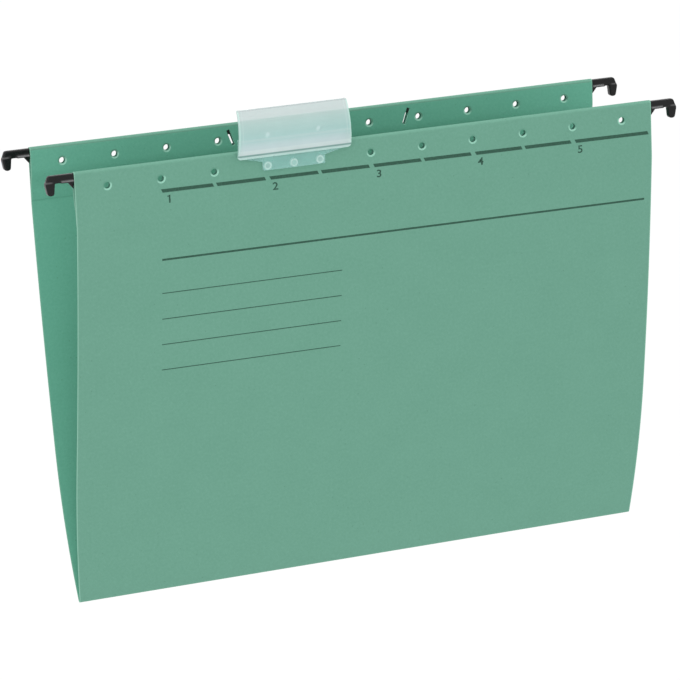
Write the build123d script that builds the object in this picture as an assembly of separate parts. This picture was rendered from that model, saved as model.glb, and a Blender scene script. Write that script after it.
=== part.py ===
from build123d import *
import os
from math import atan2, cos, degrees, hypot, radians, sin, sqrt

# A hanging file folder for A4 sheets, in millimetres.
# X runs along the folder's width, Y from the front panel to the rear one, Z up.
# The origin is the middle of the four hook seats, on the plane that rests on the cabinet's rails.

# The card
card_width = 318.0
card_thick = 0.4
rail_spacing = 70.0
hem_top_to_fold = 233.0
upper_lean_deg = 6.4
hem_bend_radius = 12.0
crease_inner_radius = 0.8

# The hem: the card turned over the rail and glued down as a flap on the inside
hem_depth = 28.0
hem_bend_margin = 1.0
flap_drop = 11.5
flap_settle = 6.0
glue_thick = 0.1
glue_margin = 1.0
glue_end_margin = 3.0

# Punched holes for the index tab, and the two slanted slits in the rear hem
hole_radius = 1.6
hole_pitch = 28.4
hole_edge_margin = 12.0
hole_below_hem_top = 8.6
slit_length = 8.7
slit_width = 1.25
slit_offset = 49.6
slit_above_holes = 1.0
slit_lean_deg = 20.0

# The rail: a flat bar with rounded edges, and a narrower tang at each end
rail_height = 5.5
rail_thick = 2.0
rail_clearance = 0.1
tang_height = 2.6
tang_thick = 1.1
tang_length = 14.0

# The hooks
hook_reach = 15.0
hook_bar_height = 4.2
hook_thick = 2.8
hook_root_depth = 8.0
hook_card_gap = 0.2
hook_top_setback = 1.6
hook_corner_radius = 1.5
hook_edge_radius = 0.45
tang_clearance = 0.05
drop_depth = 6.0
drop_width = 5.0
drop_shoulder = 0.3
drop_shoulder_radius = 1.4
drop_outer_taper = 1.1
drop_inner_taper = 0.6
drop_tip_radius = 1.5
drop_proud = 0.5
drop_rise = 1.0
seat_corner_radius = 0.5
gusset_run = 3.4
gusset_depth = 3.8
gusset_thick = 1.6
ledge_length = 7.0
ledge_width = 5.2
ledge_edge = 0.4
ledge_height = 1.5
ledge_top_width = 2.4

# The index tab: a foot with two pegs, a neck, and a bowed lens with a label pocket behind its lower part
tab_left_of_middle = 42.6
peg_clearance = 0.15
peg_past_hem = 0.6
peg_end_round = 0.5
tab_card_gap = 0.1
tab_foot_thick = 1.2
tab_foot_overhang = 2.7
tab_foot_below_peg = 2.4
tab_foot_above_peg = 2.2
tab_foot_corner_radius = 0.9
tab_neck_height = 2.5
tab_neck_inset = 3.0
tab_lens_height = 25.0
tab_lens_low_width = 61.6
tab_lens_top_width = 59.2
tab_lens_low_depth = 2.2
tab_lens_top_depth = 1.35
tab_lens_radius = 26.3
tab_lens_wall = 0.8
tab_lens_low_corner_radius = 1.8
tab_lens_top_corner_radius = 0.6
tab_lip_depth = 0.5
tab_pocket_width = 59.2
tab_pocket_height = 9.8
tab_pocket_end = 2.0
tab_pocket_wall = 0.8
tab_rim_height = 1.8
tab_dot_radius = 1.4
tab_dot_height = 0.3
tab_rib_width = 0.6
tab_rib_height = 0.25


# Heights and places worked out from the sizes above
half_width = card_width / 2
rail_u = rail_spacing / 2
rail_top = hook_bar_height
hem_top = rail_top + rail_clearance + card_thick
bend_z = rail_top - rail_thick / 2
bend_radius = rail_thick / 2 + rail_clearance + card_thick / 2
sheet_u = rail_u + bend_radius
outer_u = sheet_u + card_thick / 2
hem_foot = hem_top - hem_depth - hem_bend_margin
fold_z = hem_top - hem_top_to_fold
crease_radius = crease_inner_radius + card_thick / 2
hole_z = hem_top - hole_below_hem_top
holes_each_side = int((half_width - hole_edge_margin) / hole_pitch)
hole_x = [i * hole_pitch for i in range(-holes_each_side, holes_each_side + 1)]


def leaf_curve():
    """Radius of the leaf's long curve, and its lean at the fold.

    The curve leaves the hem at upper_lean_deg and meets the crease's round tangentially."""
    lean = radians(upper_lean_deg)
    top_u = sheet_u - hem_bend_radius * (1 - cos(lean))
    top_z = hem_foot - hem_bend_radius * sin(lean) - fold_z
    outward = top_u * cos(lean) - top_z * sin(lean)
    radius = (top_u**2 + top_z**2 - crease_radius**2) / (2 * (outward - crease_radius))
    centre_u = top_u - radius * cos(lean)
    centre_z = top_z + radius * sin(lean)
    return radius, degrees(atan2(centre_z, -centre_u))


leaf_radius, fold_lean_deg = leaf_curve()


def card_strip(side, start, lean_deg, moves):
    """Card of even thickness along a centre line of runs and bends, the full width of the folder.

    Places are (u, z), with u the distance out from the middle plane towards side (-1 front, +1 rear).
    A move is a run's length, or a bend's radius and the degrees that it adds to the lean."""
    u, z = start
    lean = radians(lean_deg)
    stations = [(u, z, lean)]
    bends = []
    for move in moves:
        if isinstance(move, tuple):
            radius, turn_deg = move
            turn = radians(turn_deg)
            reach = radius if turn > 0 else -radius
            centre_u = u + reach * cos(lean)
            centre_z = z - reach * sin(lean)
            middle = lean + turn / 2
            bends.append((centre_u - reach * cos(middle), centre_z + reach * sin(middle), middle))
            lean += turn
            u = centre_u - reach * cos(lean)
            z = centre_z + reach * sin(lean)
        else:
            bends.append(None)
            u += move * sin(lean)
            z += move * cos(lean)
        stations.append((u, z, lean))

    def point(station, offset):
        station_u, station_z, station_lean = station
        out_u = station_u + offset * cos(station_lean)
        return Vector(-half_width, side * out_u, station_z - offset * sin(station_lean))

    def edge_run(offset):
        edges = []
        for first, bend, last in zip(stations, bends, stations[1:]):
            ends = (point(first, offset), point(last, offset))
            if bend is None:
                edges.append(Edge.make_line(*ends))
            else:
                edges.append(Edge.make_three_point_arc(ends[0], point(bend, offset), ends[1]))
        return edges

    half = card_thick / 2
    caps = [Edge.make_line(point(s, half), point(s, -half)) for s in (stations[0], stations[-1])]
    face = Face(Wire(edge_run(half) + edge_run(-half) + caps))
    return extrude(face, amount=card_width, dir=(1, 0, 0))


def across_hem(shape, side, x, z):
    """Place a cutter that points along Z so that it passes through the hem along Y."""
    return Pos(x, side * rail_u, z) * Rot(X=90) * shape


def panel(side):
    """One leaf of the card: long curve, hem round the rail and glued flap, with its punched holes."""
    lean = radians(fold_lean_deg)
    start = (crease_radius * cos(lean), fold_z - crease_radius * sin(lean))
    flap_shift = 2 * bend_radius - card_thick - glue_thick
    flap_turn_deg = degrees(2 * atan2(flap_shift, flap_settle))
    flap_radius = flap_settle / (2 * sin(radians(flap_turn_deg)))
    flap_straight = bend_z - (hem_top - flap_drop)
    flap_end = hem_depth - flap_drop - flap_settle
    moves = [
        (leaf_radius, upper_lean_deg - fold_lean_deg),
        (hem_bend_radius, -upper_lean_deg),
        bend_z - hem_foot,
        (bend_radius, -180),
        flap_straight,
        (flap_radius, -flap_turn_deg),
        (flap_radius, flap_turn_deg),
        flap_end,
    ]
    leaf = card_strip(side, start, fold_lean_deg, moves)
    cut_depth = 2 * (rail_thick + 4 * card_thick + 2 * rail_clearance)
    cutters = [across_hem(Cylinder(hole_radius, cut_depth), side, x, hole_z) for x in hole_x]
    if side > 0:
        for mirror_side in (-1, 1):
            slit = Box(slit_width, slit_length, cut_depth)
            slit = Rot(Z=-mirror_side * slit_lean_deg) * slit
            cutters.append(across_hem(slit, side, mirror_side * slit_offset, hole_z + slit_above_holes))
    return leaf - cutters


def fold_crease():
    """The rounded score between the two leaves."""
    lean = radians(fold_lean_deg)
    start = (crease_radius * cos(lean), fold_z - crease_radius * sin(lean))
    return card_strip(1, start, fold_lean_deg - 180, [(crease_radius, 180 - 2 * fold_lean_deg)])


def hem_glue(side):
    """The film of glue between the flap's flat end and the panel."""
    height = hem_depth - flap_drop - flap_settle - 2 * glue_margin
    film = Box(card_width - 2 * glue_end_margin, glue_thick, height)
    film_u = sheet_u - card_thick / 2 - glue_thick / 2
    return Pos(0, side * film_u, hem_top - hem_depth + glue_margin + height / 2) * film


def rail_section():
    """The rail's outline across its length: a flat bar with round edges."""
    return Plane.YZ * SlotOverall(rail_height, rail_thick, rotation=90)


def rail(side):
    """The flat bar in the hem, with a narrower tang at each end for the hook."""
    body_length = card_width - 2 * hook_root_depth
    bar_z = rail_top - rail_height / 2
    body = extrude(rail_section(), amount=body_length / 2, both=True)
    tang = Box(body_length + 2 * tang_length, tang_thick, tang_height)
    tang_z = tang_middle() - bar_z
    return Pos(0, side * rail_u, bar_z) * (body + Pos(0, 0, tang_z) * tang)


def tang_middle():
    """Height of the tang's middle, which is the hook bar's."""
    return hook_bar_height / 2


def rounded_face(corners, radii):
    """A flat face in X and Z through the given corners, each rounded by its own radius."""
    face = Plane.XZ * make_face(Polyline(*corners, close=True))
    for (x, z), radius in zip(corners, radii):
        if radius > 0:
            face = fillet(face.vertices().sort_by_distance((x, 0, z))[0], radius)
    return face


def soft_blade(face, thick):
    """A moulded blade from a face, its edges rounded except along the end at the card."""
    blade = extrude(face, amount=thick / 2, both=True)
    rims = [edge for side in blade.faces().filter_by(Axis.Y) for edge in side.edges()]
    rims = [edge for edge in rims if edge.center().X > hook_card_gap + hook_edge_radius / 10]
    return fillet(rims, hook_edge_radius)


def right_hook(side):
    """One moulded hook at the right-hand end of a rail: a bar with a drop that stands proud of it."""
    drop_inner = hook_reach - drop_width
    drop_corners = [
        (hook_reach, -drop_shoulder),
        (hook_reach - drop_outer_taper, -drop_depth),
        (drop_inner + drop_inner_taper, -drop_depth),
        (drop_inner, 0),
    ]
    drop_radii = [drop_shoulder_radius, drop_tip_radius, drop_tip_radius]
    bar_corners = [(hook_card_gap, hook_bar_height), (hook_reach - hook_top_setback, hook_bar_height)]
    outline = bar_corners + drop_corners + [(hook_card_gap, 0)]
    outline_radii = [0, hook_corner_radius] + drop_radii + [seat_corner_radius, 0]
    blade = soft_blade(rounded_face(outline, outline_radii), hook_thick)
    rise_share = (drop_rise + drop_shoulder) / (hook_bar_height + drop_shoulder)
    rise_corners = [(drop_inner, drop_rise), (hook_reach - hook_top_setback * rise_share, drop_rise)]
    proud_face = rounded_face(drop_corners + rise_corners, drop_radii + [0, 0, 0])
    drop = soft_blade(proud_face, hook_thick + 2 * drop_proud)
    ledge_side = [(ledge_width / 2, 0), (ledge_width / 2, ledge_edge), (ledge_top_width / 2, ledge_height)]
    ledge_corners = ledge_side + [(-y, z) for y, z in reversed(ledge_side)]
    ledge = Plane.YZ * make_face(Polyline(*ledge_corners, close=True))
    ledge = Pos(hook_card_gap, 0, 0) * extrude(ledge, amount=ledge_length)
    gusset_corners = [(hook_card_gap, 0), (gusset_run, 0), (hook_card_gap, -gusset_depth)]
    gusset = Plane.XZ * make_face(Polyline(*gusset_corners, close=True))
    gusset = extrude(gusset, amount=gusset_thick / 2, both=True)
    root = extrude(rail_section(), amount=-(hook_root_depth + hook_card_gap))
    root = Pos(hook_card_gap, 0, rail_top - rail_height / 2) * root
    socket_length = tang_length + tang_clearance
    socket = Box(socket_length, tang_thick + 2 * tang_clearance, tang_height + 2 * tang_clearance)
    socket = Pos(socket_length / 2 - hook_root_depth, 0, tang_middle()) * socket
    hook = blade + drop + ledge + gusset + root - socket
    return Pos(half_width, side * rail_u, 0) * hook


def bow_centre(low, high):
    """Middle of the lens's bow, forwards from the card and up, for a lens between two heights."""
    back_step = tab_lens_low_depth - tab_lens_top_depth
    chord = hypot(back_step, high - low)
    inward = sqrt(tab_lens_radius**2 - chord**2 / 4) / chord
    middle_v = (tab_lens_low_depth + tab_lens_top_depth) / 2
    return middle_v - inward * (high - low), (low + high) / 2 - inward * back_step


def index_tab():
    """The clear tab: foot with two pegs, neck, bowed lens and the label pocket behind it."""
    pair_middles = [(left + right) / 2 for left, right in zip(hole_x, hole_x[1:])]
    middle_x = min(pair_middles, key=lambda x: abs(x + tab_left_of_middle))
    back_y = -(outer_u + tab_card_gap)
    foot_width = hole_pitch + 2 * tab_foot_overhang
    foot_high = hole_z + tab_foot_above_peg
    lens_low = foot_high + tab_neck_height
    lens_high = lens_low + tab_lens_height
    pocket_high = lens_low + tab_pocket_height
    bow_v, bow_z = bow_centre(lens_low, lens_high)
    reach = bow_v + tab_lens_radius + tab_lens_wall

    def block(width, low, high, back, front):
        """A block between two heights, from back to front as measured forwards from the card."""
        size = Box(width, front - back, high - low)
        return Pos(0, back_y - (back + front) / 2, (low + high) / 2) * size

    def plate(corners, radii, depth):
        """A flat plate of the given outline in X and Z, its back on the card and its corners rounded."""
        return Pos(0, back_y, 0) * extrude(rounded_face(corners, radii), amount=depth, dir=(0, -1, 0))

    def bow(inset):
        """A round bar with the lens's bow, its face the given distance behind the lens's face."""
        bar = Rot(Y=90) * Cylinder(tab_lens_radius, 2 * tab_lens_low_width)
        return Pos(0, back_y - bow_v + inset, bow_z) * bar

    foot_corners = [
        (-foot_width / 2, foot_high),
        (-foot_width / 2, hole_z - tab_foot_below_peg),
        (foot_width / 2, hole_z - tab_foot_below_peg),
        (foot_width / 2, foot_high),
    ]
    foot = plate(foot_corners, [0, tab_foot_corner_radius, tab_foot_corner_radius, 0], tab_foot_thick)
    neck_reach = tab_lens_low_width / 2 - tab_neck_inset
    neck_corners = [
        (-foot_width / 2, foot_high),
        (foot_width / 2, foot_high),
        (neck_reach, lens_low),
        (-neck_reach, lens_low),
    ]
    neck = plate(neck_corners, [0] * len(neck_corners), tab_foot_thick)

    lens_corners = [
        (-tab_lens_low_width / 2, lens_low),
        (tab_lens_low_width / 2, lens_low),
        (tab_lens_top_width / 2, lens_high),
        (-tab_lens_top_width / 2, lens_high),
    ]
    lens_radii = [tab_lens_low_corner_radius] * 2 + [tab_lens_top_corner_radius] * 2
    lens = plate(lens_corners, lens_radii, reach) & bow(0)
    pocket = block(tab_pocket_width, lens_low, pocket_high, 0, reach)
    lens -= bow(tab_lens_wall + tab_lip_depth) - pocket
    slot_width = tab_pocket_width - 2 * tab_pocket_end
    slot = block(slot_width, lens_low + tab_rim_height, 2 * lens_high, tab_pocket_wall, reach)
    slot += block(slot_width, pocket_high, 2 * lens_high, -reach, reach)
    lens -= slot & bow(tab_lens_wall)

    peg_length = tab_card_gap + outer_u - (rail_u - bend_radius - card_thick / 2) + peg_past_hem
    peg = Cylinder(hole_radius - peg_clearance, peg_length, align=(Align.CENTER, Align.CENTER, Align.MIN))
    peg = fillet(peg.edges().filter_by(GeomType.CIRCLE).sort_by(Axis.Z)[-1], peg_end_round)
    peg = Pos(0, back_y, hole_z) * Rot(X=-90) * peg
    dot = Cylinder(tab_dot_radius, tab_dot_height, align=(Align.CENTER, Align.CENTER, Align.MIN))
    dot = Pos(0, back_y - tab_foot_thick, hole_z) * Rot(X=90) * dot
    rib = block(tab_rib_width, hole_z, lens_low, tab_foot_thick, tab_foot_thick + tab_rib_height)

    tab = foot + neck + lens + dot + rib
    for sign in (-1, 1):
        tab += Pos(sign * hole_pitch / 2, 0, 0) * peg
    return Pos(middle_x, 0, 0) * tab


os.makedirs("parts", exist_ok=True)
pieces = {"fold_crease": fold_crease(), "index_tab": index_tab()}
for place, side in (("front", -1), ("rear", 1)):
    pieces[f"{place}_panel"] = panel(side)
    pieces[f"{place}_hem_glue"] = hem_glue(side)
    pieces[f"{place}_rail"] = rail(side)
    hook = right_hook(side)
    pieces[f"{place}_right_hook"] = hook
    pieces[f"{place}_left_hook"] = mirror(hook, about=Plane.YZ)

for name, piece in pieces.items():
    export_step(piece, f"parts/{name}.step")

leaf_run = leaf_radius * radians(fold_lean_deg - upper_lean_deg)
print(f"leaf: radius {leaf_radius:.1f}, lean at the fold {fold_lean_deg:.2f} degrees, run {leaf_run:.1f}")
print(f"heights: fold {fold_z:.2f}, holes {hole_z:.2f}, hem top {hem_top:.2f}; outer face at {outer_u:.2f}")
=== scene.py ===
# %% [markdown]
# # A hanging file folder
# The real folder is one die-cut sheet of green recycled card, folded once at the bottom. Each end is
# turned over a flat bar and glued down as a hem, a black hook sits on each end of both bars, and a clear
# tab plugs into the front hem. The imported CAD model is the frame: X runs along the width, Y from the
# front leaf to the rear one, and Z up from the seats of the hooks, all in metres.

# %% Load the imported model
import math

import bpy
from mathutils import Matrix, Vector


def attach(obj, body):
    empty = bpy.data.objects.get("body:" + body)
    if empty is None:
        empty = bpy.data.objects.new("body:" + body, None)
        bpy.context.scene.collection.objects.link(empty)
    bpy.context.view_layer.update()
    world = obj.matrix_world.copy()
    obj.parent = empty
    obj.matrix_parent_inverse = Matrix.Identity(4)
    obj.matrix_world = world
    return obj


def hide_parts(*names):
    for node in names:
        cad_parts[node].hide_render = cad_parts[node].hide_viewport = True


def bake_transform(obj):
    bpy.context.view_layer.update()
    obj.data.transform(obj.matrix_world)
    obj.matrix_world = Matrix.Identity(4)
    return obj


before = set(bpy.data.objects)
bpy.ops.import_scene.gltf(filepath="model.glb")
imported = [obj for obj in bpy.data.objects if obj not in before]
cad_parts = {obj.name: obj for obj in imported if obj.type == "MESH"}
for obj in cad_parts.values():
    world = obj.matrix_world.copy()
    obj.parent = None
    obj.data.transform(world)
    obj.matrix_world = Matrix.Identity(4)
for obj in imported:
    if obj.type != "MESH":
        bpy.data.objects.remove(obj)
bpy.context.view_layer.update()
MM = 0.001

# %% [markdown]
# ## Hand tools
# An operator works on whatever is selected, and the loaded model arrives selected. So each step first
# picks its own piece and nothing else. A finished piece keeps its place in its mesh, with its object at
# the origin, as the CAD does.

# %% Pick, settle, finish and copy


def pick(*pieces):
    """Select these pieces alone, in object mode; the first is the active one."""
    if bpy.context.mode != "OBJECT":
        bpy.ops.object.mode_set(mode="OBJECT")
    bpy.ops.object.select_all(action="DESELECT")
    for piece in pieces:
        piece.select_set(True)
    bpy.context.view_layer.objects.active = pieces[0]


def new_piece(name):
    """Name the object that an operator has just added."""
    piece = bpy.context.object
    piece.name = piece.data.name = name
    return piece


def settle(piece):
    """Move a piece's place, turn and scale into its mesh."""
    pick(piece)
    bpy.ops.object.transform_apply(location=True, rotation=True, scale=True)


def finish_with(piece, kind, **settings):
    """Add one modifier, set it and apply it."""
    pick(piece)
    modifier = piece.modifiers.new(kind.title(), kind)
    for name, value in settings.items():
        setattr(modifier, name, value)
    bpy.ops.object.modifier_apply(modifier=modifier.name)


def select_faces(piece, test):
    """Go into edit mode with only the faces that pass a test selected."""
    pick(piece)
    bpy.ops.object.mode_set(mode="EDIT")
    bpy.ops.mesh.select_mode(type="FACE")
    bpy.ops.mesh.select_all(action="DESELECT")
    bpy.ops.object.mode_set(mode="OBJECT")
    for face in piece.data.polygons:
        face.select = test(face)
    bpy.ops.object.mode_set(mode="EDIT")


def copy_at(piece, place, turn=0.0):
    """A copy with its own mesh, moved to a place on the flat card and turned there."""
    twin = piece.copy()
    twin.data = piece.data.copy()
    twin.location = place
    twin.rotation_euler = (0.0, 0.0, turn)
    bpy.context.scene.collection.objects.link(twin)
    return twin


def join(pieces):
    """Settle pieces and make them one mesh."""
    for piece in pieces:
        settle(piece)
    pick(*pieces)
    bpy.ops.object.join()
    return bpy.context.object


print("hand tools ready")

# %% [markdown]
# ## The path of the folded card
# A folder is easiest to understand from its edge: the card leaves the fold, climbs in a long shallow bow,
# straightens into the hem, rolls over the bar, comes down on the inside and settles against itself, where
# it is glued. That path is runs and bends one after the other. Each leaf follows the same path, mirrored,
# so one description serves both.

# %% Sizes of the card
CARD_WIDTH = 318 * MM
HALF_WIDTH = CARD_WIDTH / 2
CARD_THICK = 0.4 * MM
HEM_TOP = 4.7 * MM
FOLD_Z = HEM_TOP - 233 * MM
HEM_FOOT = HEM_TOP - 29 * MM
BEND_Z = 3.2 * MM
SHEET_OUT = 36.3 * MM
CREASE_RADIUS = 1.0 * MM
ROLL_RADIUS = 1.3 * MM
HEM_BEND_RADIUS = 12 * MM
HEM_LEAN = 6.4
FLAP_RUN = 10 * MM
FLAP_END = 4.5 * MM
FLAP_SETTLE = 12 * MM
FLAP_SHIFT = 2.1 * MM
PRESSED_END = 0.12 * MM
print("card", CARD_WIDTH / MM, "mm wide, fold at", round(FOLD_Z / MM, 1))

# %% The long bow of a leaf


def leaf_bow():
    """Radius of the bow, tangent to the hem and the crease, and its lean at the fold in degrees."""
    lean = math.radians(HEM_LEAN)
    top_out = SHEET_OUT - HEM_BEND_RADIUS * (1 - math.cos(lean))
    top_up = HEM_FOOT - HEM_BEND_RADIUS * math.sin(lean) - FOLD_Z
    outward = top_out * math.cos(lean) - top_up * math.sin(lean)
    radius = (top_out**2 + top_up**2 - CREASE_RADIUS**2) / (2 * (outward - CREASE_RADIUS))
    fold_lean = math.atan2(top_up + radius * math.sin(lean), radius * math.cos(lean) - top_out)
    return radius, math.degrees(fold_lean)


LEAF_RADIUS, FOLD_LEAN = leaf_bow()
print("leaf radius", round(LEAF_RADIUS / MM, 1), "mm, lean at the fold", round(FOLD_LEAN, 2))

# %% Walk along runs and bends
flap_turn = math.degrees(2 * math.atan2(FLAP_SHIFT, FLAP_SETTLE))
flap_radius = FLAP_SETTLE / (2 * math.sin(math.radians(flap_turn)))
# Each stretch: its length or its bend (radius and degrees), and how many cross cuts it gets
STRETCHES = [
    ((CREASE_RADIUS, FOLD_LEAN - 90), 6),
    ((LEAF_RADIUS, HEM_LEAN - FOLD_LEAN), 24),
    ((HEM_BEND_RADIUS, -HEM_LEAN), 3),
    (BEND_Z - HEM_FOOT, 3),
    ((ROLL_RADIUS, -180), 16),
    (FLAP_RUN, 2),
    ((flap_radius, -flap_turn), 5),
    ((flap_radius, flap_turn), 5),
    (FLAP_END, 2),
]


def along(stretch, run):
    """Distance out, height and lean at a run into a stretch whose lean changes evenly."""
    _, length, out, up, lean, turn = stretch
    if turn == 0:
        return out + run * math.sin(lean), up + run * math.cos(lean), lean
    rate = turn / length
    ahead = lean + rate * run
    outward = (math.cos(lean) - math.cos(ahead)) / rate
    upward = (math.sin(ahead) - math.sin(lean)) / rate
    return out + outward, up + upward, ahead


path = []
cuts = []
start, out, up, lean = 0.0, 0.0, FOLD_Z - CREASE_RADIUS, math.radians(90)
for move, parts in STRETCHES:
    bend = isinstance(move, tuple)
    turn = math.radians(move[1]) if bend else 0.0
    length = abs(move[0] * turn) if bend else move
    path.append((start, length, out, up, lean, turn))
    cuts += [start + length * i / parts for i in range(parts)]
    out, up, lean = along(path[-1], length)
    start += length
LEAF_LENGTH = start
print("flat card:", round(CARD_WIDTH / MM, 1), "x", round(2 * LEAF_LENGTH / MM, 1), "mm")

# %% Fold a flat mesh


def fold(piece):
    """Carry a flat mesh onto the folded card: Y is the way along it from the fold, Z its inner side."""
    for vertex in piece.data.vertices:
        x, s, inner = vertex.co
        side = 1 if s > 0 else -1
        stretch = next(each for each in reversed(path) if abs(s) >= each[0])
        out, up, lean = along(stretch, abs(s) - stretch[0])
        vertex.co = (x, side * (out - inner * math.cos(lean)), up + inner * math.sin(lean))
    piece.data.update()


print("path of", len(path), "stretches with", len(cuts), "cross cuts a leaf")

# %% [markdown]
# ## The blank
# At the factory the card is cut, punched and printed while it is flat, and folded last. The same order
# works here: a plane is cut across wherever it will bend, its sides are trimmed to their slight curve, it
# gets its thickness, is punched, and only then is bent. Every hole is punched twice, through the wall and
# through the flap that lands behind it, so that both line up after folding. The slits in the wall are cut
# a little smaller than those in the flap, so that a small slip in folding hides none of them. A blunt
# punch drags the card inwards and leaves a dished rim, so the tool widens towards the face it enters.

# %% The cut sides of the blank
SIDE_FLARE = 2.4 * MM
SIDE_ROUND = 3.5 * MM
SIDE_ROUND_REACH = 80 * MM
# The hem's wall, its roll over the bar and the flap are the fourth, fifth and sixth stretches
wall_start, roll_start, flap_start = (stretch[0] for stretch in path[3:6])


def half_width_at(way):
    """Half the width at a way from the fold: the sides flare below the hem and round in at the fold."""
    below_hem = max(0.0, 1 - abs(way) / wall_start)
    near_fold = max(0.0, 1 - abs(way) / SIDE_ROUND_REACH)
    return HALF_WIDTH + SIDE_FLARE * below_hem - SIDE_ROUND * near_fold**2


widest = max(half_width_at(way) for way in cuts)
half_widths = [round(half / MM, 2) for half in (half_width_at(0), widest)]
print("half width at the fold and at its widest:", half_widths, "mm")

# %% Cut the plane where it will bend
bpy.ops.object.select_all(action="DESELECT")
bpy.ops.mesh.primitive_plane_add(size=1)
card = new_piece("card_sheet")
card.scale = (CARD_WIDTH, 2 * LEAF_LENGTH, 1)
settle(card)
COLUMNS = 30
column_x = [CARD_WIDTH * (i / COLUMNS - 0.5) for i in range(1, COLUMNS)]
row_s = sorted({side * s for s in cuts for side in (-1, 1)})
column_cuts = [((x, 0, 0), (1, 0, 0)) for x in column_x]
row_cuts = [((0, s, 0), (0, 1, 0)) for s in row_s]
bpy.ops.object.mode_set(mode="EDIT")
for place, across in column_cuts + row_cuts:
    bpy.ops.mesh.select_all(action="SELECT")
    bpy.ops.mesh.bisect(plane_co=place, plane_no=across)
bpy.ops.object.mode_set(mode="OBJECT")
print("cut plane:", len(card.data.polygons), "faces")

# %% Trim the sides, thicken the card and press its ends thin
AT_EDGE = 0.01 * MM
for vertex in card.data.vertices:
    if abs(vertex.co.x) > HALF_WIDTH - AT_EDGE:
        vertex.co.x = math.copysign(half_width_at(vertex.co.y), vertex.co.x)
finish_with(card, "SOLIDIFY", thickness=CARD_THICK, offset=0.0)
for vertex in card.data.vertices:
    if abs(vertex.co.y) > LEAF_LENGTH - AT_EDGE and vertex.co.z < 0:
        vertex.co.z = CARD_THICK / 2 - PRESSED_END
print("blank:", len(card.data.polygons), "faces")

# %% Make the punches
PUNCH_SIDES = 32
HOLE_RADIUS = 1.6 * MM
RIM_RADIUS = 2.45 * MM
DISH_DEPTH = 0.3 * MM
HOLE_PITCH = 28.4 * MM
HOLES_EACH_SIDE = 5
HOLE_Z = HEM_TOP - 8.6 * MM
SLIT_SIZE = (1.5 * MM, 8.7 * MM)
SLIT_RIM = 0.15 * MM
WALL_SLIT_SHARE = (0.88, 0.9, 1.0)
SLIT_X = 49.6 * MM
SLIT_Z = HOLE_Z + 1 * MM
SLIT_LEAN = math.radians(20)


def on_wall(z):
    """Way along the card to a height on the hem's outer wall."""
    return wall_start + z - HEM_FOOT


def on_flap(z):
    """Way along the card to a height on the flap behind it."""
    return flap_start + BEND_Z - z


def widen(tool, across, along_it):
    """Flare a punch below its shank, out to its rim on the outer face, and carry the rim on through."""
    select_faces(tool, lambda face: face.normal.z < -0.9)
    bpy.ops.mesh.extrude_region_move(TRANSFORM_OT_translate={"value": (0, 0, -DISH_DEPTH)})
    bpy.ops.transform.resize(value=(across, along_it, 1), center_override=(0, 0, -CARD_THICK / 2))
    bpy.ops.mesh.extrude_region_move(TRANSFORM_OT_translate={"value": (0, 0, -CARD_THICK)})
    bpy.ops.object.mode_set(mode="OBJECT")


shank = 2 * CARD_THICK
shank_middle = DISH_DEPTH - CARD_THICK / 2 + shank / 2
bpy.ops.object.select_all(action="DESELECT")
bpy.ops.mesh.primitive_cylinder_add(vertices=PUNCH_SIDES, radius=HOLE_RADIUS, depth=shank)
round_punch = new_piece("round_punch")
round_punch.location = (0, 0, shank_middle)
settle(round_punch)
widen(round_punch, RIM_RADIUS / HOLE_RADIUS, RIM_RADIUS / HOLE_RADIUS)
hole_rows = (on_wall(HOLE_Z), on_flap(HOLE_Z), -on_wall(HOLE_Z), -on_flap(HOLE_Z))
hole_columns = [i * HOLE_PITCH for i in range(-HOLES_EACH_SIDE, HOLES_EACH_SIDE + 1)]
punches = [copy_at(round_punch, (x, row, 0)) for row in hole_rows for x in hole_columns]
print(len(punches), "round punches, each", [round(v / MM, 2) for v in round_punch.dimensions], "mm")

# %% Add the slit punches and cut
bpy.ops.object.select_all(action="DESELECT")
bpy.ops.mesh.primitive_cube_add(size=1, location=(0, 0, shank_middle))
slit_punch = new_piece("slit_punch")
slit_punch.scale = (*SLIT_SIZE, shank)
settle(slit_punch)
widen(slit_punch, *((size + 2 * SLIT_RIM) / size for size in SLIT_SIZE))
for hand in (-1, 1):
    in_wall = copy_at(slit_punch, (hand * SLIT_X, on_wall(SLIT_Z), 0), -hand * SLIT_LEAN)
    in_wall.scale = WALL_SLIT_SHARE
    in_flap = copy_at(slit_punch, (hand * SLIT_X, on_flap(SLIT_Z), 0), hand * SLIT_LEAN)
    punches += [in_wall, in_flap]
punch = join(punches)
finish_with(card, "BOOLEAN", object=punch, operation="DIFFERENCE", solver="EXACT")
for tool in (punch, round_punch, slit_punch):
    bpy.data.objects.remove(tool)
print("punched card:", len(card.data.polygons), "faces")

# %% [markdown]
# ## Rims, faces and the fold
# The lower lip of each hole is painted pale, a painted highlight where light from above falls into the
# dished rim, and the upper lip keeps its green. How low on its rim each point lies is marked on the flat
# card as a value for each point, for the rim's finish to read. The blank's own map and the side that each
# face comes to are marked here too, and then the card is folded.

# %% Find the lower lip of each hole
# LIP_SWING turns the painted highlight round each rim towards the folder's sides.
LIP_SWING = 0.8
mesh = card.data


def lip_of(spot):
    """How low on a hole's rim a spot lies once the card hangs, about -1 to 1; lips swing to the sides."""
    x, way = spot[:2]
    row = min(hole_rows, key=lambda each: abs(way - each))
    aside = x - round(x / HOLE_PITCH) * HOLE_PITCH
    down = (abs(row) - abs(way)) * (1 if abs(row) < flap_start else -1)
    return (down - aside * LIP_SWING * x / HALF_WIDTH) / RIM_RADIUS


lips = mesh.attributes.new("lower_lip", "FLOAT", "POINT")
lips.data.foreach_set("value", [lip_of(vertex.co) for vertex in mesh.vertices])
print("lips marked on", len(lips.data), "points")

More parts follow.
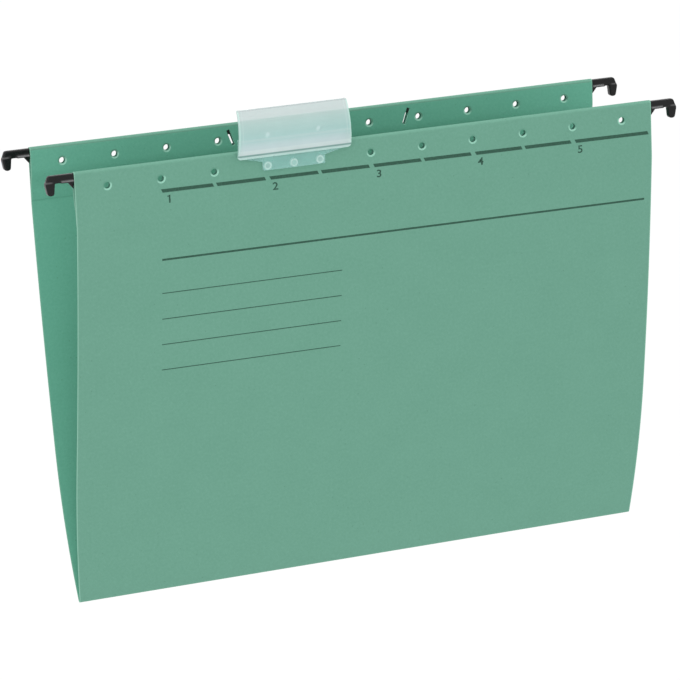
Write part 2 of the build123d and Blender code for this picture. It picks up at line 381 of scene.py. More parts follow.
# %% Mark the faces and fold the card
blank_map = mesh.uv_layers.new(name="blank")
for loop, spot in zip(mesh.loops, blank_map.data):
    x, way = mesh.vertices[loop.vertex_index].co[:2]
    spot.uv = (x * HALF_WIDTH / half_width_at(way), way)
SIDES = OUTSIDE, INSIDE, CUT_EDGE, RIM = range(4)
LEVEL, UPRIGHT = 0.97, 0.3


def side_of(face):
    """Which side of the folded card a face of the blank comes to: the turned-in flap lies inside."""
    if abs(face.normal.z) < LEVEL:
        return CUT_EDGE if abs(face.normal.z) < UPRIGHT else RIM
    way = abs(mesh.vertices[face.vertices[0]].co.y)
    return OUTSIDE if face.normal.z < 0 and way < flap_start else INSIDE


sides = [side_of(face) for face in mesh.polygons]
fold(card)
pick(card)
bpy.ops.object.shade_smooth_by_angle(angle=math.radians(30))
sides_by_edge = {}
for face, side in zip(mesh.polygons, sides):
    for key in face.edge_keys:
        sides_by_edge.setdefault(key, set()).add(side)
for edge in mesh.edges:
    if len(sides_by_edge[edge.key]) > 1:
        edge.use_edge_sharp = True
print("faces outside, inside, on cut edges and on rims:", [sides.count(side) for side in SIDES])

# %% [markdown]
# ## The print on the front
# A dark green bar runs under the front hem's holes. It is broken below each hole, more widely below every
# second one, where a number stands. One long ruled line and four short ones are for writing. Ink could be
# painted by the card's material, but thin rules need sharp edges from close by, so each mark is a film of
# ink, laid on the flat card, turned a hair off square as real printing often is, and folded with the
# card.

# %% Bars and rules of ink
INK = 0.03 * MM
BAR_LEFT = -4 * HOLE_PITCH
BAR_RIGHT = 157 * MM
BAR_DROP = 16.0 * MM
BAR_HEIGHT = 1.8 * MM
BAR_SLANT = 0.5
WIDE_GAP, NARROW_GAP = 2.6 * MM, 1.9 * MM
RULE_LEFT = BAR_LEFT - 0.6 * MM
LONG_RULE_RIGHT = 155.5 * MM
LONG_RULE_DROP = 51.9 * MM
LONG_RULE_HEIGHT = 1.05 * MM
SHORT_RULES = 4
SHORT_RULE_RIGHT = -16.2 * MM
SHORT_RULE_DROP = 69.9 * MM
SHORT_RULE_PITCH = 13.9 * MM
SHORT_RULE_HEIGHT = 0.45 * MM
outer_face = -CARD_THICK / 2


def down_from_top(drop):
    """Way along the front leaf to a distance below the hem's top."""
    return -on_wall(HEM_TOP - drop)


def ink_strip(name, left, right, drop, height, slant=0.0):
    """A flat strip of ink between two places on the front leaf, its ends slanted alike."""
    bpy.ops.object.select_all(action="DESELECT")
    bpy.ops.mesh.primitive_plane_add(size=1, rotation=(math.pi, 0, 0))
    strip = new_piece(name)
    strip.scale = (right - left, height, 1)
    strip.location = ((left + right) / 2, down_from_top(drop), outer_face)
    settle(strip)
    for vertex in strip.data.vertices:
        vertex.co.x += slant * (vertex.co.y - down_from_top(drop))
    return strip


gaps = [(i * HOLE_PITCH, NARROW_GAP if i % 2 else WIDE_GAP) for i in range(-3, 5)]
lefts = [BAR_LEFT] + [x + width / 2 for x, width in gaps]
rights = [x - width / 2 for x, width in gaps] + [BAR_RIGHT]
marks = [ink_strip("bar", a, b, BAR_DROP, BAR_HEIGHT, BAR_SLANT) for a, b in zip(lefts, rights)]
marks.append(ink_strip("long_rule", RULE_LEFT, LONG_RULE_RIGHT, LONG_RULE_DROP, LONG_RULE_HEIGHT))
for row in range(SHORT_RULES):
    drop = SHORT_RULE_DROP + row * SHORT_RULE_PITCH
    marks.append(ink_strip("short_rule", RULE_LEFT, SHORT_RULE_RIGHT, drop, SHORT_RULE_HEIGHT))
print(len(marks), "strips of ink")

# %% Numbers under the bar
DIGIT_HEIGHT = 4.0 * MM
DIGIT_WEIGHT = 0.015
DIGIT_STRETCH = 1.15
DIGIT_DROP = 20.4 * MM
DIGIT_SHIFT = 4 * MM
FLAG_LEFT, FLAG_RIGHT = -1.2 * MM, -0.1 * MM
FLAG_DROP = DIGIT_DROP - DIGIT_HEIGHT / 2 + 0.55 * MM
FLAG_HEIGHT = 0.5 * MM
for number in range(1, 6):
    bpy.ops.object.select_all(action="DESELECT")
    bpy.ops.object.text_add(rotation=(math.pi, 0, 0))
    bpy.context.object.data.body = str(number)
    bpy.context.object.data.offset = DIGIT_WEIGHT
    bpy.ops.object.convert(target="MESH")
    digit = new_piece(f"digit_{number}")
    low, high = Vector(digit.bound_box[0]), Vector(digit.bound_box[6])
    size = DIGIT_HEIGHT / (high.y - low.y)
    middle = (low + high) / 2
    x = BAR_LEFT + (number - 1) * 2 * HOLE_PITCH + DIGIT_SHIFT
    way = down_from_top(DIGIT_DROP)
    digit.scale = (size * DIGIT_STRETCH, size, 1)
    digit.location = (x - size * DIGIT_STRETCH * middle.x, way + size * middle.y, outer_face)
    marks.append(digit)
    if number == 1:
        marks.append(ink_strip("flag", x + FLAG_LEFT, x + FLAG_RIGHT, FLAG_DROP, FLAG_HEIGHT))
ink = join(marks)
ink.name = ink.data.name = "front_print"
print("print:", len(ink.data.polygons), "faces before folding")

# %% Turn the print a hair off square, give it its film and fold it
PRINT_TURN = math.radians(0.41)
PIVOT_X = 33 * MM
pivot = Matrix.Translation((PIVOT_X, down_from_top(BAR_DROP), 0))
ink.matrix_world = pivot @ Matrix.Rotation(PRINT_TURN, 4, "Z") @ pivot.inverted()
settle(ink)
finish_with(ink, "SOLIDIFY", thickness=INK, offset=1.0)
fold(ink)
print("ink reaches Y", round(min(v.co.y for v in ink.data.vertices) / MM, 3), "mm")

# %% [markdown]
# ## Hooks and tab
# The hooks and the tab are small mouldings. The CAD already has their shapes, but a mesh straight from
# CAD has knife-sharp edges, and real mouldings catch the light on softly rounded ones. So each gets a
# copy of its CAD mesh, merged into one skin. The thin tab gets a narrow bevel. The stout hooks are
# remeshed into small even faces and smoothed, which melts every edge and corner a little, as the cooling
# of thick plastic does.

# %% Copy a CAD piece and soften it
MERGE_REACH = 0.002 * MM
HOOK_GRAIN = 0.2 * MM
HOOK_PASSES = 40
TAB_BEVEL = 0.12 * MM


def merged_copy(node, name):
    """A copy of a CAD node with its loose triangles merged into one skin."""
    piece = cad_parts[node].copy()
    piece.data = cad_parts[node].data.copy()
    piece.parent = None
    piece.matrix_world = Matrix.Identity(4)
    piece.name = piece.data.name = name
    bpy.context.scene.collection.objects.link(piece)
    pick(piece)
    bpy.ops.object.mode_set(mode="EDIT")
    bpy.ops.mesh.select_all(action="SELECT")
    bpy.ops.mesh.remove_doubles(threshold=MERGE_REACH)
    bpy.ops.mesh.dissolve_limited(angle_limit=math.radians(1))
    bpy.ops.object.mode_set(mode="OBJECT")
    return piece


def bevelled(node, name, width):
    """A copy with a narrow bevel on its sharp edges."""
    piece = merged_copy(node, name)
    sharp = math.radians(40)
    finish_with(piece, "BEVEL", width=width, segments=2, limit_method="ANGLE", angle_limit=sharp)
    pick(piece)
    bpy.ops.object.shade_smooth_by_angle(angle=math.radians(35))
    return piece


def melted(node, name, grain, passes):
    """A copy remeshed into faces of one size and smoothed, so that all its edges are round."""
    piece = merged_copy(node, name)
    finish_with(piece, "REMESH", mode="VOXEL", voxel_size=grain)
    finish_with(piece, "SMOOTH", factor=0.5, iterations=passes)
    pick(piece)
    bpy.ops.object.shade_smooth()
    return piece


hooks = {}
for place in ("front", "rear"):
    for hand in ("left", "right"):
        node = f"{place}_{hand}_hook"
        hooks[node] = melted(node, f"{place}_{hand}_moulded_hook", HOOK_GRAIN, HOOK_PASSES)
tab = bevelled("index_tab", "clear_index_tab", TAB_BEVEL)
hook_faces = len(hooks["front_left_hook"].data.polygons)
print("tab:", len(tab.data.polygons), "faces; each hook about", hook_faces)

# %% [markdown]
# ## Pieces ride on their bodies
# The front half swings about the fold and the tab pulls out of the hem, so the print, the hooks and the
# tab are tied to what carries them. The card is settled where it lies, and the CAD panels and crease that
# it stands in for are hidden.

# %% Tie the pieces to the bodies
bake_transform(card)
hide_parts("rear_panel", "front_panel", "fold_crease")
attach(ink, "front_half")
for node, hook in hooks.items():
    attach(hook, f"{node.split('_')[0]}_half")
    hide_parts(node)
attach(tab, "tab")
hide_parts("index_tab")
print("tied:", 3 + len(hooks), "pieces")

# %% [markdown]
# ## Writing finishes as sums
# A material is a graph of nodes, which is slow to write one link at a time. Here one class wraps a
# socket, so that Python's own operators add the Math nodes, and one method adds any other node with its
# settings and its inputs.

# %% Sockets with operators


class Tone:
    """A value in a finish, on which Python's operators add Math nodes."""

    def __init__(self, finish, socket):
        self.finish = finish
        self.socket = socket

    def sum(self, operation, *values):
        return self.finish.node("ShaderNodeMath", {"operation": operation}, dict(enumerate(values)))

    def __add__(self, other):
        return self.sum("ADD", self, other)

    def __radd__(self, other):
        return self.sum("ADD", other, self)

    def __sub__(self, other):
        return self.sum("SUBTRACT", self, other)

    def __rsub__(self, other):
        return self.sum("SUBTRACT", other, self)

    def __mul__(self, other):
        return self.sum("MULTIPLY", self, other)

    def __rmul__(self, other):
        return self.sum("MULTIPLY", other, self)

    def __abs__(self):
        return self.sum("ABSOLUTE", self)

    def between(self, low, high):
        """0 up to low, 1 from high on, smooth between them."""
        sockets = {"Value": self, "From Min": low, "From Max": high}
        return self.finish.node("ShaderNodeMapRange", {"interpolation_type": "SMOOTHSTEP"}, sockets)

    def stripe(self, middle, width):
        """1 in a stripe round a middle value, fading out at its edges."""
        return 1 - abs(self - middle).between(width * 0.35, width * 0.65)


class Finish:
    """One material, written node by node."""

    def __init__(self, name):
        self.material = bpy.data.materials.new(name)
        self.material.use_nodes = True
        self.tree = self.material.node_tree
        self.surface = self.tree.nodes["Principled BSDF"]

    def node(self, kind, settings=None, sockets=None, output=0):
        """Add a node: its settings first, then a value or a link for each socket, by name or number."""
        made = self.tree.nodes.new(kind)
        for name, value in (settings or {}).items():
            setattr(made, name, value)
        self.feed(made, sockets or {})
        return Tone(self, made.outputs[output])

    def feed(self, node, sockets):
        """Set or link a node's sockets."""
        for name, value in sockets.items():
            if isinstance(value, Tone):
                self.tree.links.new(value.socket, node.inputs[name])
            else:
                node.inputs[name].default_value = value

    def look(self, sockets):
        """Set or link the sockets of the surface itself."""
        self.feed(self.surface, sockets)

    def mix(self, share, first, second):
        """A colour between two, by a share that may vary."""
        return self.node("ShaderNodeMix", {"data_type": "RGBA"}, {0: share, 6: first, 7: second}, 2)

    def noise(self, vector, scale, detail=2.0, roughness=0.5):
        """Cloudy grain with so many blots to the metre."""
        sockets = {"Vector": vector, "Scale": scale, "Detail": detail, "Roughness": roughness}
        return self.node("ShaderNodeTexNoise", {}, sockets)

    def bump(self, height, distance, strength):
        """A relief of the given depth in metres."""
        sockets = {"Height": height, "Distance": distance, "Strength": strength}
        return self.node("ShaderNodeBump", {}, sockets)

    def space(self):
        """The piece's own space, in metres."""
        return self.node("ShaderNodeTexCoord", {}, {}, "Object")

    def axis(self, vector, number):
        """One of a vector's three parts, by its number."""
        return self.node("ShaderNodeSeparateXYZ", {}, {0: vector}, number)

    def scaled(self, vector, shares):
        """A vector with each of its parts multiplied by its own share."""
        return self.node("ShaderNodeVectorMath", {"operation": "MULTIPLY"}, {0: vector, 1: shares})


def srgb(red, green, blue):
    """A colour as a screen shows it, from 0 to 255, as the linear light that a socket takes."""

    def light(level):
        level /= 255
        return level / 12.92 if level <= 0.04045 else ((level + 0.055) / 1.055) ** 2.4

    return (light(red), light(green), light(blue), 1.0)


print("finish writer ready")

# %% [markdown]
# ## The card's finish
# Recycled card is matte, with soft clouds where the pulp settled, fine crossed fibres, and a few specks.
# Its surface whitens a little where it is creased at the fold and where hands rub its sides. Along the
# hem's rolled top a faint pale band is partly whitening from the bend and partly a painted highlight,
# where light from above falls. The blank's own map carries the pattern, so it runs on round every bend
# as it does on a real sheet.

# %% Card faces
PALE_WEAR_AND_HIGHLIGHT = srgb(146, 197, 175)
ROLL_MIDDLE = (roll_start + flap_start) / 2


def card_face(name, deep, pale):
    """Matte card between two greens, patterned on the flat sheet's own map."""
    finish = Finish(name)
    sheet = finish.node("ShaderNodeUVMap", {"uv_map": "blank"})
    clouds = finish.noise(sheet, 45, 3.0, 0.55)
    pulp = finish.noise(sheet, 700, 4.0, 0.65)
    fibres = []
    for turn, squeeze in ((0.5, (260, 2400, 1)), (-0.9, (300, 2100, 1)), (1.9, (280, 2600, 1))):
        turned = finish.node("ShaderNodeMapping", {}, {"Vector": sheet, "Rotation": (0, 0, turn)})
        fibres.append(finish.noise(finish.scaled(turned, squeeze), 1.0, 1.0, 0.4).between(0.58, 0.72))
    hair = fibres[0] + fibres[1] + fibres[2]
    tone = 0.5 + (clouds - 0.5) * 0.22 + (pulp - 0.5) * 0.7 + hair * 0.12
    colour = finish.mix(tone.between(0.0, 1.0), deep, pale)
    cells = {"Vector": sheet, "Scale": 330.0}
    speck_spot = 1 - finish.node("ShaderNodeTexVoronoi", {}, cells, "Distance").between(0.05, 0.16)
    cell_tint = finish.node("ShaderNodeTexVoronoi", {}, cells, "Color")
    few = finish.node("ShaderNodeSeparateColor", {}, {0: cell_tint}).between(0.86, 0.9)
    specks = speck_spot * few
    colour = finish.mix(specks * 0.35, colour, srgb(70, 112, 94))
    from_fold = abs(finish.axis(sheet, 1))
    from_middle = abs(finish.axis(sheet, 0))
    from_roll = abs(from_fold - ROLL_MIDDLE)
    # Along the hem's rolled top the pale band is partly bend whitening and partly a painted highlight.
    bent = 1 - from_roll.between(1.2 * MM, 2.4 * MM)
    creased = 1 - from_fold.between(0.5 * MM, 1.6 * MM)
    scuffed = from_middle.between(HALF_WIDTH - 0.7 * MM, HALF_WIDTH)
    worn_and_highlight = (bent * 0.06 + creased * 0.25 + scuffed * 0.8) * (0.55 + pulp * 0.8)
    colour = finish.mix(worn_and_highlight, colour, PALE_WEAR_AND_HIGHLIGHT)
    relief = pulp * 0.6 + hair * 0.35
    finish.look({
        "Base Color": colour,
        "Roughness": 0.78 + pulp * 0.16,
        "Specular IOR Level": 0.3,
        "Normal": finish.bump(relief, 0.02 * MM, 0.35),
    })
    return finish.material


card_outside = card_face("card_outside", srgb(98, 151, 130), srgb(114, 166, 146))
# The inside is a lighter, greener copy of the card: painted light, for the green light bouncing between
# the leaves.
card_inside_painted_light = card_face("card_inside_painted_light", srgb(96, 167, 142), srgb(113, 183, 160))
print("card faces written")

# %% Cut edges, rims and ink


def torn_fibre(name, deep, pale):
    """A cut edge, where the paler inner fibres of the card show."""
    finish = Finish(name)
    place = finish.space()
    fibre = finish.noise(place, 1500, 3.0, 0.6)
    layers = finish.noise(place, 5200, 1.0, 0.4)
    colour = finish.mix(fibre * 0.6 + layers * 0.4, deep, pale)
    finish.look({
        "Base Color": colour,
        "Roughness": 0.85 + layers * 0.1,
        "Specular IOR Level": 0.25,
        "Normal": finish.bump(layers, 0.03 * MM, 0.4),
    })
    return finish.material


def pressed_rim():
    """The dished rim of a hole: a painted highlight on its lower lip, nearly the card's own green above.
    """
    finish = Finish("pressed_rim")
    fibre = finish.noise(finish.space(), 1500, 3.0, 0.6)
    low = finish.node("ShaderNodeAttribute", {"attribute_name": "lower_lip"}, {}, "Fac")
    # The pale lower lip is a painted highlight, where light from above falls into the dish.
    lip = low.between(-0.4, 0.5)
    lip_highlight_colour = finish.mix(fibre, srgb(136, 192, 170), srgb(162, 214, 194))
    colour = finish.mix(lip, srgb(104, 158, 137), lip_highlight_colour)
    finish.look({
        "Base Color": colour,
        "Roughness": 0.82 + fibre * 0.12,
        "Specular IOR Level": 0.25,
        "Normal": finish.bump(fibre, 0.03 * MM, 0.3),
    })
    return finish.material


def printed_ink():
    """Dark green ink, a little thin where the card's pulp shows through."""
    finish = Finish("dark_green_ink")
    thin = finish.noise(finish.space(), 900, 3.0, 0.6)
    colour = finish.mix(thin.between(0.35, 0.85), srgb(41, 79, 64), srgb(55, 101, 83))
    finish.look({"Base Color": colour, "Roughness": 0.62 + thin * 0.2, "Specular IOR Level": 0.35})
    return finish.material


cut_edge = torn_fibre("card_cut_edge", srgb(132, 184, 163), srgb(160, 206, 187))
for material in (card_outside, card_inside_painted_light, cut_edge, pressed_rim()):
    card.data.materials.append(material)
card.data.polygons.foreach_set("material_index", sides)
ink.data.materials.clear()
ink.data.materials.append(printed_ink())
print("card slots:", [slot.name for slot in card.data.materials])

# %% [markdown]
# ## Black mouldings, painted bars and glue
# The hooks are satin black plastic with the fine grain of a spark-cut mould, with a painted grey
# highlight along the ledge and on the outer half of the shoulder, where a lamp above would glint on them.
# The bars inside the hems are black painted steel, and the flaps are held by a thin pale film of glue.
# All three are patterned in the piece's own space.

# %% Finishes of the small parts
RAIL_OUT = 35 * MM
SHOULDER_Z, SHOULDER_BAND = 0.8 * MM, 0.8 * MM
SHOULDER_FROM, SHOULDER_FULL = 10.6 * MM, 12.4 * MM
LEDGE_Z, LEDGE_BAND = 1.0 * MM, 1.2 * MM
LEDGE_ROOT, LEDGE_FACE = 1.4 * MM, 1.8 * MM
LEDGE_FADE, LEDGE_END = 6.6 * MM, 7.2 * MM


def hook_plastic():
    """Satin black plastic with a fine moulded grain and a painted highlight on the ledge and shoulder."""
    finish = Finish("satin_black_plastic")
    place = finish.space()
    grain = finish.noise(place, 4200, 2.0, 0.5)
    handling = finish.noise(place, 260, 3.0, 0.6)
    x, y, z = (finish.axis(place, number) for number in range(3))
    beyond = abs(x) - HALF_WIDTH
    aside = abs(abs(y) - RAIL_OUT)
    on_shoulder = z.stripe(SHOULDER_Z, SHOULDER_BAND) * beyond.between(SHOULDER_FROM, SHOULDER_FULL)
    along_ledge = z.stripe(LEDGE_Z, LEDGE_BAND) * (1 - beyond.between(LEDGE_FADE, LEDGE_END))
    on_ledge = aside.between(LEDGE_ROOT, LEDGE_FACE) * along_ledge
    # The grey on the ledge and the shoulder is a painted highlight, where a lamp above would glint.
    painted_highlight = (on_shoulder * 0.7 + on_ledge) * (0.5 + handling)
    colour = finish.mix(handling, (0.006, 0.006, 0.0065, 1), (0.012, 0.012, 0.0125, 1))
    colour = finish.mix(painted_highlight, colour, (0.1, 0.1, 0.102, 1))
    finish.look({
        "Base Color": colour,
        "Roughness": 0.18 + handling * 0.1 + grain * 0.05,
        "Specular IOR Level": 0.22,
        "Normal": finish.bump(grain, 0.015 * MM, 0.15),
    })
    return finish.material


def rail_paint():
    """Black paint on steel, slightly rippled."""
    finish = Finish("black_painted_steel")
    ripple = finish.noise(finish.space(), 700, 2.0, 0.5)
    colour = finish.mix(ripple, (0.011, 0.011, 0.012, 1), (0.021, 0.021, 0.022, 1))
    finish.look({
        "Base Color": colour,
        "Roughness": 0.3 + ripple * 0.15,
        "Normal": finish.bump(ripple, 0.03 * MM, 0.3),
    })
    return finish.material


def glue_film():
    """Pale dried glue, uneven where the roller laid it."""
    finish = Finish("pale_glue")
    streaks = finish.noise(finish.space(), 320, 3.0, 0.6)
    colour = finish.mix(streaks, srgb(222, 214, 186), srgb(238, 233, 212))
    finish.look({"Base Color": colour, "Roughness": 0.35 + streaks * 0.25})
    return finish.material


def dress(piece, material):
    """Give a piece this one material."""
    piece.data.materials.clear()
    piece.data.materials.append(material)
    piece.data.polygons.foreach_set("material_index", [0] * len(piece.data.polygons))


black_plastic = hook_plastic()
for hook in hooks.values():
    dress(hook, black_plastic)
small_finishes = {"rail": rail_paint(), "hem_glue": glue_film()}
for place in ("front", "rear"):
    for piece, material in small_finishes.items():
        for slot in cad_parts[f"{place}_{piece}"].material_slots:
            slot.material = material
print("dressed:", len(hooks), "hooks and", ", ".join(small_finishes))

# %% [markdown]
# ## The clear tab
# The tab is clear plastic gone slightly milky. Full glass would need many light bounces through thin
# walls, so the milk is given by how much of the light each surface stops: more on the bowed lens, less on
# the foot, a little uneven with the flow of the moulding, and a clear coat keeps the gloss. The lens is
# bluer over its pocket, where there are two walls, and greyer towards its crown. Painted highlights lie
# on its edges, its rim, above the pocket's floor and at the pocket's walls, and painted shade darkens a
# line at the pocket's floor and along the lens's top edge.

# %% Measures of the tab
LENS_LOW, LENS_TOP = 0.8 * MM, 25.8 * MM
LENS_LOW_HALF, LENS_TOP_HALF = 30.8 * MM, 29.6 * MM
POCKET_TOP = LENS_LOW + 9.8 * MM
RIM_HEIGHT = 1.8 * MM
END_WALL = 2.1 * MM
MILK_FULL, MILK_END = 5 * MM, 11 * MM
HIGH_FROM, HIGH_FULL = 9 * MM, 19 * MM
CROWN_FROM, CROWN_FULL = 17 * MM, 22 * MM
TAB_X = -1.5 * HOLE_PITCH
PEG_RADIUS = 1.45 * MM
FOOT_FRONT = -37.8 * MM
print("tab lens", round((LENS_TOP - LENS_LOW) / MM, 1), "mm tall, middle at X", round(TAB_X / MM, 1))

# %% Milky clear plastic


def clear_plastic(name, gloss):
    """A finish with the flow marks of a clear moulding; returned with its place and its flow."""
    finish = Finish(name)
    place = finish.space()
    flow = finish.noise(place, 90, 3.0, 0.5)
    haze = finish.noise(place, 1400, 2.0, 0.5)
    finish.look({
        "Roughness": gloss + flow * 0.1 + haze * 0.05,
        "IOR": 1.49,
        "Coat Weight": 0.3 + flow * 0.2,
        "Coat Roughness": 0.08,
    })
    return finish, place, flow


def milky_lens():
    """The bowed lens, with a painted highlight on its rim and painted lines of light and shade at its
    pocket.
    """
    finish, place, flow = clear_plastic("milky_lens", 0.16)
    x = finish.axis(place, 0)
    z = finish.axis(place, 2)
    up = z - LENS_LOW
    taper = (LENS_LOW_HALF - LENS_TOP_HALF) / (LENS_TOP - LENS_LOW)
    from_end = LENS_LOW_HALF - up * taper - abs(x - TAB_X)
    foot_rim = 1 - up.between(RIM_HEIGHT - 0.9 * MM, RIM_HEIGHT - 0.4 * MM)
    end_rim = 1 - from_end.between(0.5 * MM, 1.0 * MM)
    rim = foot_rim.sum("MAXIMUM", foot_rim, end_rim)
    high = up.between(HIGH_FROM, HIGH_FULL)
    crown = up.between(CROWN_FROM, CROWN_FULL)
    low = 1 - up.between(MILK_FULL, MILK_END)
    # Painted shade along the pocket's floor and the top edge; painted highlights just above the floor and
    # at the pocket's walls.
    floor_shade_line = up.stripe(RIM_HEIGHT, 1.0 * MM)
    floor_highlight_band = up.stripe(RIM_HEIGHT + 1.6 * MM, 2.4 * MM)
    top_shade_line = 1 - (LENS_TOP - z).between(0.2 * MM, 0.9 * MM)
    wall_highlight_lines = z.stripe(POCKET_TOP, 1.2 * MM) + from_end.stripe(END_WALL, 0.6 * MM)
    streaks = finish.noise(finish.scaled(place, (25, 1, 520)), 1)
    colour = finish.mix(streaks, srgb(174, 213, 211), srgb(188, 224, 221))
    colour = finish.mix(high, colour, srgb(192, 218, 215))
    colour = finish.mix(crown, colour, srgb(197, 211, 210))
    colour = finish.mix(low * 0.8, colour, srgb(216, 231, 235))
    colour = finish.mix(floor_highlight_band * 0.6, colour, srgb(230, 244, 242))
    colour = finish.mix(wall_highlight_lines * 0.25, colour, srgb(214, 232, 230))
    colour = finish.mix(rim * 0.8, colour, srgb(198, 236, 226))
    colour = finish.mix(floor_shade_line * 0.85, colour, srgb(104, 150, 141))
    colour = finish.mix(top_shade_line * 0.6, colour, srgb(160, 168, 170))
    finish.look({"Base Color": colour, "Alpha": 0.7 + (flow - 0.5) * 0.1 + rim * 0.06 + floor_shade_line * 0.1})
    return finish.material


def clear_foot():
    """The thin foot, whiter over its two pegs and the moulding's middle, where the plastic is thick."""
    finish, place, flow = clear_plastic("clear_foot", 0.16)
    level = finish.scaled(place, (1, 0, 1))
    spots = []
    for x in (TAB_X - HOLE_PITCH / 2, TAB_X, TAB_X + HOLE_PITCH / 2):
        spot = {0: level, 1: (x, 0, HOLE_Z)}
        reach = finish.node("ShaderNodeVectorMath", {"operation": "DISTANCE"}, spot, "Value")
        disc = 1 - reach.between(PEG_RADIUS * 0.7, PEG_RADIUS * 1.7)
        spots.append(disc * 0.45 + reach.stripe(PEG_RADIUS * 1.2, 0.9 * MM) * 0.5)
    thick = spots[0] + spots[1] + spots[2]
    colour = finish.mix(flow, srgb(160, 221, 213), srgb(172, 230, 222))
    colour = finish.mix(thick * 0.8, colour, srgb(222, 249, 242))
    finish.look({"Base Color": colour, "Alpha": 0.36 + (flow - 0.5) * 0.1 + thick * 0.3})
    return finish.material


def plain_clear(name, colour, pale, milk):
    """Clear plastic of one milkiness, for edges and hidden walls."""
    finish, _, flow = clear_plastic(name, 0.14)
    finish.look({"Base Color": finish.mix(flow, colour, pale), "Alpha": milk + (flow - 0.5) * 0.1})
    return finish.material


tab_finishes = [
    milky_lens(),
    clear_foot(),
    # The edges are painted paler and more solid: a painted highlight where light catches the moulded
    # edge.
    plain_clear("edge_painted_highlight", srgb(192, 226, 220), srgb(208, 238, 232), 0.55),
    plain_clear("inner_wall", srgb(188, 212, 211), srgb(200, 222, 221), 0.58),
]
print("tab finishes:", [material.name for material in tab_finishes])

# %% Which finish each face of the tab takes
LENS, FOOT, EDGE, WALL = range(4)


def tab_part(face):
    """The lens's face, the foot, edges all round, and the walls behind the lens."""
    if abs(face.normal.y) < 0.5:
        return EDGE
    if face.center.z < LENS_LOW:
        return FOOT
    return LENS if face.normal.y < 0 and face.center.y < FOOT_FRONT else WALL


tab.data.materials.clear()
for material in tab_finishes:
    tab.data.materials.append(material)
tab_parts = [tab_part(face) for face in tab.data.polygons]
tab.data.polygons.foreach_set("material_index", tab_parts)
print("lens, foot, edge and wall faces:", [tab_parts.count(i) for i in range(len(tab_finishes))])

# %% [markdown]
# ## Floor, light and camera
# A studio photograph of this kind has a white sweep and light from almost every side. So the room gives
# most of the light here, two large soft lamps on the left give it a direction, and a strip above catches
# the rolled tops of the hems. The floor lies low enough for the opened front leaf. The camera's place and
# lens come from fitting the folder's corners and both rows of holes to the photograph's view.

# %% Floor and background
FLOOR_Z = -0.5
FLOOR_RADIUS = 9
FLOOR_GLOW = 1.04
GLOW_SHARE = 0.9


def seen_share(finish):
    """1 for rays from the camera, off gloss and through clear plastic; 0 for light on the folder."""
    rays = ("Is Camera Ray", "Is Glossy Ray", "Is Transmission Ray")
    camera_ray, gloss_ray, clear_ray = (finish.node("ShaderNodeLightPath", {}, {}, ray) for ray in rays)
    return camera_ray.sum("MAXIMUM", camera_ray.sum("MAXIMUM", camera_ray, gloss_ray), clear_ray)


bpy.ops.object.select_all(action="DESELECT")
bpy.ops.mesh.primitive_circle_add(vertices=96, radius=FLOOR_RADIUS, fill_type="NGON")
floor = new_piece("studio_floor")
floor.location = (0, 0, FLOOR_Z)
settle(floor)
sweep = Finish("white_sweep")
sweep.look({"Base Color": (0.9, 0.9, 0.9, 1), "Roughness": 0.9, "Specular IOR Level": 0.1})
matte = Tone(sweep, sweep.surface.outputs[0])
glow = sweep.node("ShaderNodeEmission", {}, {"Strength": FLOOR_GLOW})
seen = sweep.node("ShaderNodeMixShader", {}, {0: seen_share(sweep) * GLOW_SHARE, 1: matte, 2: glow})
sweep.feed(sweep.tree.nodes["Material Output"], {"Surface": seen})
dress(floor, sweep.material)
print("floor at", FLOOR_Z, "m")

# %% World
ROOM_LIGHT = 0.85


class Room(Finish):
    """The world round the folder, written as a finish is."""

    def __init__(self, name):
        self.world = bpy.data.worlds.new(name)
        self.world.use_nodes = True
        self.tree = self.world.node_tree
        self.surface = self.tree.nodes["Background"]


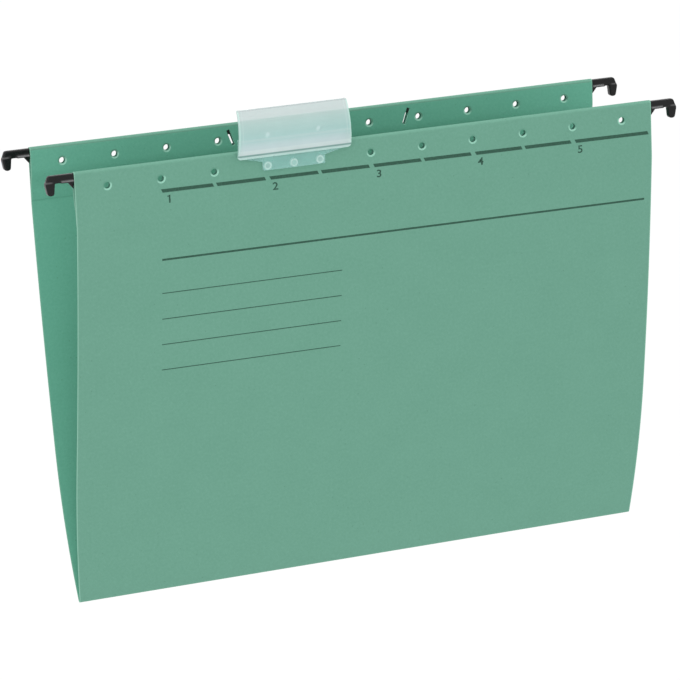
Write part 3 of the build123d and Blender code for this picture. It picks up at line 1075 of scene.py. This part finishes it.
room = Room("studio")
levels = {"Value": seen_share(room), "To Min": ROOM_LIGHT, "To Max": 1.0}
room.look({"Color": (1, 1, 1, 1), "Strength": room.node("ShaderNodeMapRange", {}, levels)})
bpy.context.scene.world = room.world
print("room light", ROOM_LIGHT)

# %% Lamps
AIM = Vector((0, 0, -0.11))
STRIP_DEPTH = 0.25


def soft_lamp(name, place, size, power):
    """A square area lamp that faces the folder."""
    bpy.ops.object.select_all(action="DESELECT")
    bpy.ops.object.light_add(type="AREA", location=place)
    lamp = new_piece(name)
    lamp.data.size = size
    lamp.data.energy = power
    lamp.rotation_euler = (AIM - Vector(place)).to_track_quat("-Z", "Y").to_euler()
    return lamp


soft_lamp("key_left", (-1.8, -3.8, 1.2), 2.4, 26)
soft_lamp("high_left", (-1.8, -1.0, 2.4), 1.6, 10)
strip = soft_lamp("strip_above", (0.55, 0.0, 1.4), 0.9, 6)
strip.data.shape = "RECTANGLE"
strip.data.size_y = STRIP_DEPTH
strip.rotation_euler = (0, 0, 0)
print("two soft lamps and a strip")

# %% Camera
YAW, PITCH, ROLL = (math.radians(angle) for angle in (21.79, 14.60, -2.46))
FOCUS = Vector((0, 0, -0.1083))
DISTANCE, SLIDE, RISE = 2.098, 0.0062, 0.0026
SENSOR = 36.0
LENS_PIXELS, FRAME_PIXELS = 4009.0, 680.0
ahead = Vector((math.sin(YAW) * math.cos(PITCH), math.cos(YAW) * math.cos(PITCH), -math.sin(PITCH)))
level = Vector((math.cos(YAW), -math.sin(YAW), 0))
upright = level.cross(ahead)
right = math.cos(ROLL) * level + math.sin(ROLL) * upright
above = -math.sin(ROLL) * level + math.cos(ROLL) * upright
eye = FOCUS - ahead * DISTANCE - right * SLIDE - above * RISE
bpy.ops.object.select_all(action="DESELECT")
bpy.ops.object.camera_add()
camera = new_piece("photo_camera")
turn = Matrix((right, above, -ahead)).transposed()
camera.matrix_world = Matrix.Translation(eye) @ turn.to_4x4()
camera.data.sensor_width = SENSOR
camera.data.lens = SENSOR * LENS_PIXELS / FRAME_PIXELS
bpy.context.scene.camera = camera
bpy.context.scene.view_settings.view_transform = "Standard"
print("camera at", [round(v, 3) for v in eye], "lens", round(camera.data.lens, 1), "mm")
